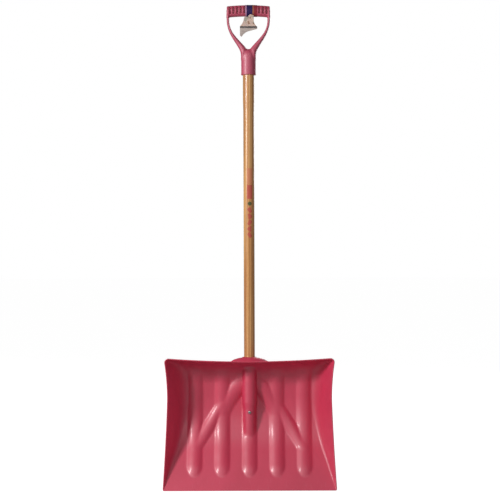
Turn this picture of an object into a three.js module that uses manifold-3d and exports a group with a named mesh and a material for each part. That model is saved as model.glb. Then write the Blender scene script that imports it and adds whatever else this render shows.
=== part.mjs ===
// Snow shovel: a ribbed plastic scoop on a round wooden shaft with a D-shaped plastic grip,
// and a card tag that hangs from a paper band round the grip's bar.
// Millimetres. +Z runs up the shaft, -Y comes out of the scoop's hollow side, and +X is to
// the right of someone who faces that side. The origin is the middle of the cutting edge.

import * as THREE from "three";
import { mergeVertices } from "three/addons/utils/BufferGeometryUtils.js";
import Module from "manifold-3d";

const wasm = await Module();
wasm.setup();

const { clamp, degToRad, lerp, smoothstep } = THREE.MathUtils;

// ---------- driving dimensions ----------

const GAP = 0.35; // clearance between pieces that touch
const ROUND = 32; // sides of a round piece
const SHAFT_Y = 93; // how far the shaft's axis stands behind the cutting edge

// Scoop.
const SHEET = 3;
const LIP_Y = -1.8; // front edge of the lip, so that the lip's flat foot is centred on the origin
const PAN_STRETCHES = [
  { straight: 118, steps: 12 }, // the flat lower plate
  { radius: 230, to: -4, steps: 12 }, // turns to degrees from upright, positive running back
  { straight: 33, steps: 3 },
  { radius: 62, to: -80, steps: 10 }, // the curl at the top
  { straight: 27, steps: 3 }, // the roof, out to the rim
];
const PAN_SLOPE = 34; // degrees from upright at the lip
const LIP_HALF = 228.5;
const WAIST_HALF = 217.5;
const WAIST_Z = 240;
const RIM_HALF = 226;
const CORNER_CUT = 9; // how far the rim's corners are rounded in, over CORNER_RUN of height
const CORNER_RUN = 12;
const CORNER_RISE = 9; // how much higher the rim's corners are than its middle
const EDGE_SETBACK = 18; // how far the side edges bow back between lip and rim
const WALL_DRAFT = 28; // degrees that each side wall leans outwards
const FILLET_LOW = 14; // reach of the rounding between pan and side wall, low and high up
const FILLET_HIGH = 34;
const FILLET_GROWS = [120, 270];
const FULL_DEPTH = 45; // where the pan is shallower than this, the rounding shrinks with it
const LEAST_WALL = 12; // depth kept for the side walls where the pan runs out to the rim

// Ribs pressed into the pan, standing proud on the hollow side.
const RIB_PITCH = 73.5;
const RIB_COUNT = 5;
const RIB_HALF = 20.5;
const RIB_HEIGHT = 7;
const RIB_FOOT_Z = 33;
const RIB_NOSE = 1.4; // length of a rib's rounded foot, as a share of its half width
const RIB_RUNOUT = 0.15; // share of a rib's height over which its flanks ease into the pan
const RIB_FADE = [282, 322]; // heights between which the ribs die out in the curl
const BRANCH_HALF = 17;
const BRANCH = [
  [RIB_PITCH, 217],
  [2 * RIB_PITCH, 102],
]; // the straight branch from an inner rib down to an outer one, in X and Z
const WING_HALF = 23;
const WING = [
  [10, 283],
  [50, 250],
  [RIB_PITCH, 200],
]; // control points of the curved rib from the socket to an inner rib, in X and Z

// Socket for the shaft, moulded in one with the scoop.
const SOCKET_R = 19.3;
const SOCKET_TOP = 347;
const SPINE_R = 16.5;
const SPINE_Z = [206, 224]; // the socket narrows to the spine between these heights
const SPINE_FOOT = 108;
const SPINE_NOSE = [
  [0, 0],
  [6, 2],
  [10.5, 11],
  [14.5, 26],
  [SPINE_R, 42],
]; // the spine's rounded foot: radius, and height above SPINE_FOOT
const BORE_FOOT = 170;
const COLLAR_HALF = [60, 29]; // half width and half depth of the flared collar at its widest
const COLLAR_BACK = -6; // the collar's middle, from the shaft's axis
const COLLAR_PROFILE = [
  [0, 240],
  [0.33, 240],
  [0.6, 276],
  [0.88, 304],
  [1, 318],
  [0.96, 327],
  [0.86, 334.5],
  [0.7, 340.5],
  [0.48, 344.5],
  [0.25, 346],
  [0, 346],
]; // share of the half width, and height

// Shaft.
const SHAFT_R = 14.6;
const SHAFT_TOP_R = 15.4;
const SHAFT_FOOT_R = 12;
const SHAFT_FOOT = BORE_FOOT + 2;
const SHAFT_TOP = 1157;
const SWELL_Z = [1010, 1045]; // the shaft thickens between these heights
const SHAFT_CHAMFER = 1.5;

// Grip.
const GRIP_FOOT = 1108;
const GRIP_SOCKET_R = 19.7;
const GRIP_LIP = 3; // the thicker band at the foot of the grip's socket
const GRIP_LIP_R = 20.3;
const GRIP_DOME = [
  [0, 1156],
  [0.8, 1163],
  [3, 1169.5],
  [8, 1174.5],
  [14, 1177],
]; // how the top of the grip's socket closes: step in from its radius, and height
const YOKE_Z = 1178.4; // bottom of the hand opening
const BAR_R = 15.2;
const BAR_Z = 1281.5;
const BAR_HALF = 53;
const BAR_SAG = 2.5; // how far the bar's ends drop below its middle
const CAP_FROM = 51.6; // the discs that close the bar run from here to CAP_HALF
const CAP_HALF = 58.2;
const CAP_R = 15.9;
const ARM_DEPTH = 25;
const ARM_STEPS = 14;
const ARM_SIDES = 14;
const ARM_SQUARENESS = 0.8; // 1 makes the arms' sections elliptical, less squares them off
const YOKE_SWELL = 4; // extra half depth of the arms where they meet the socket
const YOKE_SWELL_RUN = 0.35; // share of an arm's length over which the swell dies out
// Each arm lies between an inner and an outer line in X and Z. A stretch of 2 points is
// straight, one of 3 or 4 is a Bezier curve, and each stretch starts where the last one ends.
const ARM_INNER = [
  [[-3, YOKE_Z], [5, YOKE_Z], [9.5, YOKE_Z + 6]],
  [[9.5, YOKE_Z + 6], [31, 1208]],
  [[31, 1208], [41.5, 1220.5], [51, 1232.5], [CAP_FROM, 1256]],
  [[CAP_FROM, 1256], [CAP_FROM, BAR_Z]],
];
const ARM_OUTER = [
  [[17.7, 1138], [19.4, 1155]],
  [[19.4, 1155], [17.2, 1187], [60.5, 1210], [58.6, 1262]],
  [[58.6, 1262], [57.8, BAR_Z + 1]],
];
const POCKET_PITCH = 9.9;
const POCKET_COUNT = 11;
const POCKET = [4.6, 9, 19.5]; // width, depth and height of each pocket in the bar
const POCKET_RISE = 1.6; // pockets sit this far above the bar's axis

// Paper band, tag and printed film.
const STRAP_X = [-8.4, 23.2];
const STRAP_SHEET = 0.7;
const TAG_SHEET = 0.7;
const TAG_Y = -12.95; // the tag's middle plane, from the shaft's axis
const TAG_TOP = 1270.7;
const TAG_NECK = { x: 7.2, r: 7.2 }; // the round neck that hangs from the band
const FILM_Z = [664, 858];
const FILM_SPREAD = 84; // degrees of the shaft that the film covers
const FILM_SHEET = 0.4;

// Screws.
const SCREW = { headR: 4, headH: 2.4, shankR: 1.9, length: 24, tip: 5 };
const SCREW_HOLE_R = SCREW.shankR + 0.4;
const BLADE_SCREW_Z = 198.5;
const GRIP_SCREW_Z = 1132;
const SEAT_DEPTH = 0.9; // depth of the flat seat under each screw head

// ---------- materials ----------

function finish(color, roughness, metalness = 0) {
  return new THREE.MeshStandardMaterial({ color, roughness, metalness });
}

const plastic = () => finish("#c04a63", 0.42);
const wood = () => finish("#c98f5a", 0.4);
const steel = () => finish("#9a9ca0", 0.3, 1);
const card = (color) => finish(color, 0.8);

// ---------- helpers ----------

function solid(geometry) {
  const bare = geometry.clone();
  bare.deleteAttribute("normal");
  bare.deleteAttribute("uv");
  const merged = mergeVertices(bare, 1e-4);
  return new wasm.Manifold(
    new wasm.Mesh({
      numProp: 3,
      vertProperties: merged.attributes.position.array,
      triVerts: new Uint32Array(merged.index.array),
    }),
  );
}

function geometryOf(body) {
  const mesh = body.getMesh();
  const geometry = new THREE.BufferGeometry();
  geometry.setAttribute("position", new THREE.BufferAttribute(mesh.vertProperties, 3));
  geometry.setIndex(new THREE.BufferAttribute(mesh.triVerts, 1));
  geometry.computeVertexNormals();
  return geometry;
}

function indexed(points, faces) {
  const geometry = new THREE.BufferGeometry();
  const flat = points.flatMap((point) => point.toArray());
  geometry.setAttribute("position", new THREE.Float32BufferAttribute(flat, 3));
  geometry.setIndex(faces);
  return geometry;
}

function piece(name, geometry, material) {
  const mesh = new THREE.Mesh(geometry, material);
  mesh.name = name;
  return mesh;
}

// A solid of revolution about Z, from [radius, height] pairs.
function turned(profile, sides = ROUND) {
  const points = profile.map(([r, z]) => new THREE.Vector2(r, z));
  return new THREE.LatheGeometry(points, sides).rotateX(Math.PI / 2);
}

// A plate of the given thickness with its outline drawn in X and Z, centred on Y = 0.
function plate(shape, thickness) {
  const options = { depth: thickness, bevelEnabled: false, curveSegments: 8 };
  return new THREE.ExtrudeGeometry(shape, options).translate(0, 0, -thickness / 2).rotateX(Math.PI / 2);
}

// A curve in the plane from 2 to 4 points: straight, quadratic or cubic.
function stretchOf(points) {
  const ends = points.map(([x, y]) => new THREE.Vector2(x, y));
  if (ends.length === 2) return new THREE.LineCurve(...ends);
  if (ends.length === 3) return new THREE.QuadraticBezierCurve(...ends);
  return new THREE.CubicBezierCurve(...ends);
}

function lineOf(stretches) {
  const line = new THREE.CurvePath();
  for (const points of stretches) line.add(stretchOf(points));
  return line;
}

// A closed solid through rings that have the same number of points.
function loft(rings) {
  const sides = rings[0].length;
  const middle = (ring) => {
    const sum = ring.reduce((total, point) => total.add(point), new THREE.Vector3());
    return sum.divideScalar(sides);
  };
  const points = [...rings.flat(), middle(rings[0]), middle(rings.at(-1))];
  const [foot, top] = [points.length - 2, points.length - 1];
  const last = (rings.length - 1) * sides;
  const faces = [];
  for (let k = 0; k < sides; k++) {
    const next = (k + 1) % sides;
    for (let row = 0; row < last; row += sides) {
      faces.push(row + k, row + sides + next, row + sides + k);
      faces.push(row + k, row + next, row + sides + next);
    }
    faces.push(foot, next, k, top, last + k, last + next);
  }
  return indexed(points, faces);
}

function joined(geometries) {
  return geometries.map(solid).reduce((a, b) => a.add(b));
}

// Takes the lower of two depths, rounding the inside corner between them over `blend`.
function softMin(a, b, blend) {
  const overlap = Math.max(blend - Math.abs(a - b), 0) / blend;
  return Math.min(a, b) - (overlap * overlap * blend) / 4;
}

// ---------- scoop ----------

const PAN_LENGTH = PAN_STRETCHES.reduce((sum, s) => sum + stretchLength(s, startAngle(s)), 0);

function startAngle(stretch) {
  const before = PAN_STRETCHES.slice(0, PAN_STRETCHES.indexOf(stretch));
  return before.reduce((angle, s) => s.to ?? angle, PAN_SLOPE);
}

function stretchLength(stretch, from) {
  return stretch.straight ?? stretch.radius * degToRad(from - stretch.to);
}

// The pan's middle section at a distance along it from the lip: a point and its heading.
function panSection(distance) {
  let [y, z, left] = [LIP_Y, 0, distance];
  for (const stretch of PAN_STRETCHES) {
    const from = startAngle(stretch);
    const last = stretch === PAN_STRETCHES.at(-1);
    const run = last ? left : Math.min(left, stretchLength(stretch, from));
    let angle = degToRad(from);
    if (stretch.radius) {
      const next = angle - run / stretch.radius;
      y += stretch.radius * (Math.cos(next) - Math.cos(angle));
      z += stretch.radius * (Math.sin(angle) - Math.sin(next));
      angle = next;
    } else {
      y += run * Math.sin(angle);
      z += run * Math.cos(angle);
    }
    left -= run;
    if (last || left <= 0) return { y, z, angle };
  }
}

const RIM = panSection(PAN_LENGTH);
const WELL_AHEAD = 300;

function halfWidth(z) {
  const below = clamp((WAIST_Z - z) / WAIST_Z, 0, 1);
  const above = clamp((z - WAIST_Z) / (RIM.z - WAIST_Z), 0, 1);
  const corner = clamp((z - RIM.z + CORNER_RUN) / CORNER_RUN, 0, 1);
  const lipFlare = (LIP_HALF - WAIST_HALF) * below ** 1.2;
  const rimFlare = (RIM_HALF - WAIST_HALF) * above ** 2;
  return WAIST_HALF + lipFlare + rimFlare - CORNER_CUT * corner ** 3;
}

function edgeDepth(z) {
  const up = clamp(z / RIM.z, 0, 1);
  return lerp(LIP_Y, RIM.y, up) + EDGE_SETBACK * Math.sin(Math.PI * up);
}

// How far a point is from the nearest of a line's straight parts.
function distanceTo(line, x, z) {
  let nearest = Infinity;
  for (let i = 1; i < line.length; i++) {
    const [[x0, z0], [x1, z1]] = [line[i - 1], line[i]];
    const [dx, dz] = [x1 - x0, z1 - z0];
    const along = clamp(((x - x0) * dx + (z - z0) * dz) / (dx * dx + dz * dz), 0, 1);
    nearest = Math.min(nearest, Math.hypot(x - x0 - along * dx, z - z0 - along * dz));
  }
  return nearest;
}

const WING_LINE = stretchOf(WING)
  .getPoints(6)
  .map((point) => point.toArray());

// The height of a rounded ridge at a distance from its middle, as a share of its full height.
function ridge(distance, half) {
  return -softMin((distance / half) ** 2 - 1, 0, RIB_RUNOUT);
}

// How proud the ribs stand at a point of the pan. The two halves mirror each other.
function ribHeight(x, z) {
  const side = Math.abs(x);
  const below = Math.max(RIB_FOOT_Z + RIB_HALF * RIB_NOSE - z, 0) / RIB_NOSE;
  let proud = Math.max(
    ridge(distanceTo(BRANCH, side, z), BRANCH_HALF),
    ridge(distanceTo(WING_LINE, side, z), WING_HALF),
  );
  for (let i = 0; i <= (RIB_COUNT - 1) / 2; i++) {
    proud = Math.max(proud, ridge(Math.hypot(side - i * RIB_PITCH, below), RIB_HALF));
  }
  return RIB_HEIGHT * proud * (1 - smoothstep(z, ...RIB_FADE));
}

// Columns run from -3 to 3: within 1 of the middle they keep their X, the next ones run out to
// the crease where pan and side wall meet, and the last ones cross the wall to its edge.
const INNER_HALF = 168;

function columnX(column, crease, half) {
  const size = Math.abs(column);
  if (size <= 1) return column * INNER_HALF;
  const reach = size <= 2 ? lerp(INNER_HALF, crease, size - 1) : lerp(crease, half, size - 2);
  return Math.sign(column) * reach;
}

// A point of the scoop's hollow face.
function hollowPoint(distance, column) {
  const { y, z, angle } = panSection(distance);
  const half = halfWidth(z);
  const edge = edgeDepth(z);
  const lean = Math.tan(degToRad(WALL_DRAFT));
  const x = columnX(column, half - Math.max(y - edge, LEAST_WALL) * lean, half);
  const proud = ribHeight(x, z);
  const depth = clamp((y - edge) / FULL_DEPTH, 0.1, 1);
  const fillet = lerp(FILLET_LOW, FILLET_HIGH, smoothstep(z, ...FILLET_GROWS)) * depth;
  const wall = edge + (half - Math.abs(x)) / lean;
  const rise = CORNER_RISE * (x / RIM_HALF) ** 2 * smoothstep(z, WAIST_Z, RIM.z);
  return new THREE.Vector3(
    x,
    softMin(y - proud * Math.cos(angle), wall, fillet),
    z + proud * Math.sin(angle) + rise,
  );
}

// The same point on the outer face, one sheet's thickness behind.
function outerPoint(distance, column) {
  const front = hollowPoint(distance, column);
  if (distance === 0) {
    return front.add(new THREE.Vector3(0, SHEET / Math.cos(degToRad(PAN_SLOPE)), 0));
  }
  const step = 0.5;
  const up = hollowPoint(distance + step, column).sub(hollowPoint(distance - step, column));
  const across = hollowPoint(distance, column + step / 100).sub(hollowPoint(distance, column - step / 100));
  return front.add(up.cross(across).normalize().multiplyScalar(SHEET));
}

function panRows() {
  const rows = [0];
  for (const stretch of PAN_STRETCHES) {
    const length = stretchLength(stretch, startAngle(stretch));
    const start = rows.at(-1);
    for (let i = 1; i <= stretch.steps; i++) rows.push(start + (length * i) / stretch.steps);
  }
  return rows;
}

const RIB_COLUMNS = [-1, -0.67, -0.33, 0, 0.33, 0.67, 1]; // shares of a rib's half width
const TROUGH_COLUMNS = [-8, 0, 8]; // from the middle of each trough between two ribs
const SIDE_COLUMNS = [1.3, 1.65, 2, 2.2, 2.45, 2.7, 3];

function panColumns() {
  const last = (RIB_COUNT - 1) / 2;
  const places = [];
  for (let i = -last; i <= last; i++) {
    for (const share of RIB_COLUMNS) places.push(i * RIB_PITCH + share * RIB_HALF);
  }
  for (let i = -last; i < last; i++) {
    for (const offset of TROUGH_COLUMNS) places.push((i + 0.5) * RIB_PITCH + offset);
  }
  const columns = places.map((x) => x / INNER_HALF);
  for (const side of SIDE_COLUMNS) columns.push(side, -side);
  return columns.sort((a, b) => a - b);
}

// A closed solid between two grids of points with the same rows and columns.
function between(front, back) {
  const [rows, columns] = [front.length, front[0].length];
  const index = (side, row, column) => side * rows * columns + row * columns + column;
  const faces = [];
  const points = [...front.flat(), ...back.flat()];
  const quad = (a, b, c, d) => {
    const isShort = points[a].distanceTo(points[c]) < points[b].distanceTo(points[d]);
    faces.push(...(isShort ? [a, b, c, a, c, d] : [a, b, d, b, c, d]));
  };
  for (let r = 0; r + 1 < rows; r++) {
    for (let c = 0; c + 1 < columns; c++) {
      quad(index(0, r, c), index(0, r, c + 1), index(0, r + 1, c + 1), index(0, r + 1, c));
      quad(index(1, r, c), index(1, r + 1, c), index(1, r + 1, c + 1), index(1, r, c + 1));
    }
  }
  for (let r = 0; r + 1 < rows; r++) {
    quad(index(0, r, 0), index(0, r + 1, 0), index(1, r + 1, 0), index(1, r, 0));
    const c = columns - 1;
    quad(index(0, r, c), index(1, r, c), index(1, r + 1, c), index(0, r + 1, c));
  }
  for (let c = 0; c + 1 < columns; c++) {
    quad(index(0, 0, c), index(1, 0, c), index(1, 0, c + 1), index(0, 0, c + 1));
    const r = rows - 1;
    quad(index(0, r, c), index(0, r, c + 1), index(1, r, c + 1), index(1, r, c));
  }
  return indexed(points, faces);
}

function blade() {
  const columns = panColumns();
  const hollow = panRows().map((distance) => columns.map((column) => hollowPoint(distance, column)));
  const outer = panRows().map((distance) => columns.map((column) => outerPoint(distance, column)));
  const inFront = hollow.map((row) => row.map((p) => p.clone().setY(p.y - WELL_AHEAD)));
  const shell = solid(between(hollow, outer));
  const hollowSpace = solid(between(inFront, hollow));

  const collar = turned(COLLAR_PROFILE)
    .scale(...COLLAR_HALF, 1)
    .translate(0, SHAFT_Y + COLLAR_BACK, 0);
  const socket = turned([
    ...SPINE_NOSE.map(([r, up]) => [r, SPINE_FOOT + up]),
    [SPINE_R, SPINE_Z[0]],
    [SOCKET_R, SPINE_Z[1]],
    [SOCKET_R, SOCKET_TOP],
    [0, SOCKET_TOP],
  ]).translate(0, SHAFT_Y, 0);
  const bore = turned([
    [0, BORE_FOOT],
    [SHAFT_FOOT_R + GAP, BORE_FOOT],
    [SHAFT_R + GAP, SPINE_Z[1]],
    [SHAFT_R + GAP, SOCKET_TOP + 5],
    [0, SOCKET_TOP + 5],
  ]).translate(0, SHAFT_Y, 0);
  return shell
    .add(solid(collar).subtract(hollowSpace))
    .add(solid(socket))
    .subtract(solid(bore))
    .subtract(screwHole(-SPINE_R, BLADE_SCREW_Z, SHAFT_Y));
}

// ---------- screws ----------

// The hole that a screw needs: a shank hole to its tip, and a flat seat for its head.
// `face` is the surface that the head sits on, from the shaft's axis; its sign is the side.
function screwHole(face, z, axisY = 0) {
  const side = Math.sign(face);
  const reach = SCREW.length + 2;
  const shank = new THREE.CylinderGeometry(SCREW_HOLE_R, SCREW_HOLE_R, reach, 16);
  const seat = new THREE.CylinderGeometry(SCREW.headR + 1, SCREW.headR + 1, 10, 24);
  shank.translate(0, axisY + face - (side * reach) / 2, z);
  seat.translate(0, axisY + face + side * (5 - SEAT_DEPTH), z);
  return solid(shank).add(solid(seat));
}

// A pan-head wood screw driven towards the shaft's axis.
function screw(name, face, z) {
  const { headR, headH, shankR, length, tip } = SCREW;
  const geometry = turned(
    [
      [0, -length],
      [shankR, tip - length],
      [shankR, 0],
      [headR, 0],
      [headR, headH * 0.45],
      [headR * 0.75, headH * 0.85],
      [0, headH],
    ],
    20,
  );
  geometry.rotateX(face < 0 ? Math.PI / 2 : -Math.PI / 2);
  const mesh = piece(name, geometry, steel());
  mesh.position.set(0, face + Math.sign(face) * (GAP - SEAT_DEPTH), z);
  return mesh;
}

// ---------- shaft ----------

function shaft() {
  const body = solid(
    turned([
      [0, SHAFT_FOOT],
      [SHAFT_FOOT_R - SHAFT_CHAMFER, SHAFT_FOOT],
      [SHAFT_FOOT_R, SHAFT_FOOT + SHAFT_CHAMFER],
      [SHAFT_R, SPINE_Z[1] + 2],
      [SHAFT_R, SWELL_Z[0]],
      [SHAFT_TOP_R, SWELL_Z[1]],
      [SHAFT_TOP_R, SHAFT_TOP - SHAFT_CHAMFER],
      [SHAFT_TOP_R - SHAFT_CHAMFER, SHAFT_TOP],
      [0, SHAFT_TOP],
    ]),
  );
  return body
    .subtract(screwHole(-SPINE_R, BLADE_SCREW_Z))
    .subtract(screwHole(GRIP_SOCKET_R, GRIP_SCREW_Z));
}

// A thin printed film laid round the front of the shaft.
function shaftFilm() {
  const [inner, outer] = [SHAFT_R + GAP, SHAFT_R + GAP + FILM_SHEET];
  const [from, to] = [-90 - FILM_SPREAD / 2, -90 + FILM_SPREAD / 2].map(degToRad);
  const shape = new THREE.Shape().absarc(0, 0, outer, from, to).absarc(0, 0, inner, to, from, true);
  const geometry = new THREE.ExtrudeGeometry(shape, {
    depth: FILM_Z[1] - FILM_Z[0],
    bevelEnabled: false,
    curveSegments: 12,
  });
  return geometry.translate(0, 0, FILM_Z[0]);
}

// ---------- grip ----------

// One arm, from the yoke up to the bar's end, as rounded sections between its two lines.
function arm(side) {
  const inner = lineOf(ARM_INNER);
  const outer = lineOf(ARM_OUTER);
  const rings = [];
  for (let i = 0; i <= ARM_STEPS; i++) {
    const up = i / ARM_STEPS;
    const near = inner.getPointAt(up);
    const across = outer.getPointAt(up).sub(near).multiplyScalar(0.5);
    const deep = ARM_DEPTH / 2 + YOKE_SWELL * (1 - smoothstep(up, 0, YOKE_SWELL_RUN));
    const ring = [];
    for (let k = 0; k < ARM_SIDES; k++) {
      const turn = (2 * Math.PI * k) / ARM_SIDES;
      const reach = 1 + squared(Math.cos(turn));
      const [x, z] = [near.x + across.x * reach, near.y + across.y * reach];
      ring.push(new THREE.Vector3(side * x, side * deep * squared(Math.sin(turn)), z));
    }
    rings.push(ring);
  }
  return loft(rings);
}

// Pulls out a sine or cosine, which squares a circle off a little.
function squared(value) {
  return Math.sign(value) * Math.abs(value) ** ARM_SQUARENESS;
}

function barAxisHeight(x) {
  return BAR_Z - BAR_SAG * (x / BAR_HALF) ** 2;
}

// The bar's axis between two places along X: a shallow arch.
function barAxis(fromX, toX) {
  const controlZ = BAR_Z - (BAR_SAG / BAR_HALF ** 2) * fromX * toX;
  return new THREE.QuadraticBezierCurve3(
    new THREE.Vector3(fromX, 0, barAxisHeight(fromX)),
    new THREE.Vector3((fromX + toX) / 2, 0, controlZ),
    new THREE.Vector3(toX, 0, barAxisHeight(toX)),
  );
}

// A disc that closes one end of the bar and carries the top of an arm.
function barCap(side) {
  const disc = turned([
    [0, CAP_FROM],
    [CAP_R, CAP_FROM],
    [CAP_R, CAP_HALF - 3],
    [CAP_R - 1, CAP_HALF - 1],
    [CAP_R - 4, CAP_HALF],
    [0, CAP_HALF],
  ]);
  return disc.rotateY((side * Math.PI) / 2).translate(0, 0, BAR_Z - BAR_SAG);
}

function bar() {
  const circle = new THREE.Shape().absarc(0, 0, BAR_R, 0, 2 * Math.PI);
  return new THREE.ExtrudeGeometry(circle, {
    extrudePath: barAxis(-BAR_HALF, BAR_HALF),
    steps: 6,
    curveSegments: 14,
  });
}

function gripSocket() {
  return turned([
    [0, GRIP_FOOT],
    [GRIP_LIP_R, GRIP_FOOT],
    [GRIP_LIP_R, GRIP_FOOT + GRIP_LIP],
    [GRIP_SOCKET_R, GRIP_FOOT + GRIP_LIP + 1],
    ...GRIP_DOME.map(([stepIn, z]) => [GRIP_SOCKET_R - stepIn, z]),
    [0, YOKE_Z - 0.8],
  ]);
}

function grip() {
  let body = joined([arm(1), arm(-1), bar(), barCap(1), barCap(-1), gripSocket()]);
  const bore = turned([
    [0, GRIP_FOOT - 5],
    [SHAFT_TOP_R + GAP, GRIP_FOOT - 5],
    [SHAFT_TOP_R + GAP, SHAFT_TOP + GAP],
    [0, SHAFT_TOP + GAP],
  ]);
  body = body.subtract(solid(bore)).subtract(screwHole(GRIP_SOCKET_R, GRIP_SCREW_Z));
  const [width, depth, height] = POCKET;
  for (let i = 0; i < POCKET_COUNT; i++) {
    const x = (i - (POCKET_COUNT - 1) / 2) * POCKET_PITCH;
    for (const side of [-1, 1]) {
      const pocket = new THREE.BoxGeometry(width, 2 * depth, height);
      pocket.translate(x, side * BAR_R, barAxisHeight(x) + POCKET_RISE);
      body = body.subtract(solid(pocket));
    }
  }
  return body;
}

// ---------- paper band and tag ----------

function strap() {
  const inner = BAR_R + GAP;
  const ring = new THREE.Shape().absarc(0, 0, inner + STRAP_SHEET, 0, 2 * Math.PI);
  ring.holes.push(new THREE.Path().absarc(0, 0, inner, 0, 2 * Math.PI, true));
  return new THREE.ExtrudeGeometry(ring, {
    extrudePath: barAxis(...STRAP_X),
    steps: 2,
    curveSegments: 16,
  });
}

// A plain card: a round neck, flared sides, and a lower edge that slants to a blunt tip.
function tag() {
  const { x, r } = TAG_NECK;
  const shape = new THREE.Shape()
    .moveTo(x + r, TAG_TOP - r)
    .absarc(x, TAG_TOP - r, r, 0, Math.PI)
    .lineTo(-9, 1263.5)
    .quadraticCurveTo(-11.6, 1263.5, -11.8, 1260.5)
    .quadraticCurveTo(-13, 1248, -22.8, 1238)
    .lineTo(-22.8, 1215)
    .quadraticCurveTo(-22, 1210, -17.5, 1210)
    .quadraticCurveTo(-11, 1222, 2, 1225)
    .lineTo(24, 1231)
    .lineTo(24, 1236.5)
    .quadraticCurveTo(16, 1243, 14.6, 1252);
  return plate(shape, TAG_SHEET).translate(0, TAG_Y, 0);
}

// ---------- assembly ----------

const shovel = new THREE.Group();
shovel.name = "snow_shovel";
shovel.add(piece("blade", geometryOf(blade()), plastic()));

const handle = new THREE.Group();
handle.name = "handle";
handle.position.y = SHAFT_Y;
handle.add(
  piece("shaft", geometryOf(shaft()), wood()),
  piece("shaft_film", shaftFilm(), card("#c8563c")),
  piece("d_grip", geometryOf(grip()), plastic()),
  screw("blade_screw", -SPINE_R, BLADE_SCREW_Z),
  screw("grip_screw", GRIP_SOCKET_R, GRIP_SCREW_Z),
  piece("tag_strap", strap(), card("#3b2260")),
  piece("hang_tag", tag(), card("#b7a79a")),
);
shovel.add(handle);

export default shovel;
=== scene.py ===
"""Snow shovel: the fine shapes and materials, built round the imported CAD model.

Shapes are worked out in millimetres in the row frame (+Z up the shaft, -Y out of the scoop's
hollow side, +X to the right of someone who faces that side) and made in metres.
"""

import math

import bmesh
import bpy
import numpy as np
import openvdb
from mathutils import Matrix, Vector


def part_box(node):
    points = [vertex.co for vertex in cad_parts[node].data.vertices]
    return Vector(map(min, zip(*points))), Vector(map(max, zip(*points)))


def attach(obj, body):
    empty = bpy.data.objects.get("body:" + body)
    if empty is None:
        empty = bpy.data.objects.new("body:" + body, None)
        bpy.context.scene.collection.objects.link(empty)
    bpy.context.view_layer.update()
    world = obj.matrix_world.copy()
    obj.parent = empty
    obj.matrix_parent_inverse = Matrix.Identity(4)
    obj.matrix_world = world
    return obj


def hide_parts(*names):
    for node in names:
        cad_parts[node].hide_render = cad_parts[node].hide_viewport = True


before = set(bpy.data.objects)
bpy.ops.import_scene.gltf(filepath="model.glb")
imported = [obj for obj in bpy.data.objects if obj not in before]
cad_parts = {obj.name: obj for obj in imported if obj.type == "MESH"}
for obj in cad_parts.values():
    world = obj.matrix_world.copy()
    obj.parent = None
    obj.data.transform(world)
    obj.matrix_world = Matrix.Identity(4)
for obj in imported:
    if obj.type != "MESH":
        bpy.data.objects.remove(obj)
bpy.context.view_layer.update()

MM = 0.001
SHOVEL = "shovel"
TAG = "tag"
FINE = 1.0  # spacing of the fine meshes, as a share of the finished one


def place(node):
    """Lowest and highest corner of a CAD node, in millimetres."""
    low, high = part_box(node)
    return np.array(low) / MM, np.array(high) / MM


# ---------- helpers: numbers ----------

LINE_SAMPLES = 60  # points that each stretch of a line is measured with


def lerp(a, b, share):
    return a + (b - a) * share


def smoothstep(value, low, high):
    share = np.clip((value - low) / (high - low), 0, 1)
    return share * share * (3 - 2 * share)


def soft_min(a, b, blend):
    """The lower of two values, rounded off where they are within `blend` of each other."""
    overlap = np.maximum(blend - np.abs(a - b), 0) / blend
    return np.minimum(a, b) - overlap * overlap * blend / 4


def soft_max(a, b, blend):
    return -soft_min(-a, -b, blend)


def unit(vectors):
    return vectors / np.linalg.norm(vectors, axis=-1, keepdims=True)


def around(sides):
    """Angles of evenly spaced places round a circle."""
    return np.arange(sides) * 2 * math.pi / sides


def points_at(x, y, z):
    """Points from coordinates, which are spread to one shape."""
    return np.stack(np.broadcast_arrays(x, y, z), axis=-1)


def graded(*stretches):
    """Places along a line: stretches of (from, to, step), each starting where the last ended."""
    places = [stretches[0][0]]
    for start, end, step in stretches:
        count = max(1, round((end - start) / (step * FINE)))
        places.extend(np.linspace(start, end, count + 1)[1:])
    return np.array(places)


def bezier(points, share):
    """Points of a straight, quadratic or cubic stretch at the given shares of its length."""
    points = np.array(points, float)
    order = len(points) - 1
    share = np.asarray(share)[:, None]
    total = 0
    for i, point in enumerate(points):
        weight = math.comb(order, i) * share**i * (1 - share) ** (order - i)
        total = total + weight * point
    return total


def line_of(stretches, count):
    """Evenly spaced points along a line of joined stretches."""
    dense = [bezier(points, np.linspace(0, 1, LINE_SAMPLES)) for points in stretches]
    points = np.vstack([dense[0], *[part[1:] for part in dense[1:]]])
    run = np.concatenate([[0], np.cumsum(np.linalg.norm(np.diff(points, axis=0), axis=1))])
    at = np.linspace(0, run[-1], count)
    return np.column_stack([np.interp(at, run, points[:, i]) for i in range(points.shape[1])])


# ---------- helpers: meshes ----------

FIELD_MARGIN = 4  # cells beyond a field's surface that its grid holds distances for
FIELD_PASSES = 3  # times that a mesh's points are drawn towards its field's surface
LEAST_SLOPE = 0.5  # slope that a field is taken to have where it is flatter
GRADIENT_STEP = 0.05


def closed(index):
    """A grid of point numbers with its first column repeated after its last."""
    return np.hstack([index, index[:, :1]])


def quads_over(index):
    """Quads over a grid of point numbers."""
    a, b, c, d = index[:-1, :-1], index[:-1, 1:], index[1:, 1:], index[1:, :-1]
    return np.stack([a, b, c, d], axis=-1).reshape(-1, 4)


def grid_faces(rows, columns, first=0, flip=False, wrap=False):
    """Quads over a grid of points that is stored row by row."""
    index = first + np.arange(rows * columns).reshape(rows, columns)
    faces = quads_over(closed(index) if wrap else index)
    return faces[:, ::-1] if flip else faces


def added(data):
    """An object in the scene that holds a mesh, a lamp or a camera, and has its name."""
    obj = bpy.data.objects.new(data.name, data)
    bpy.context.scene.collection.objects.link(obj)
    return obj


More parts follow.
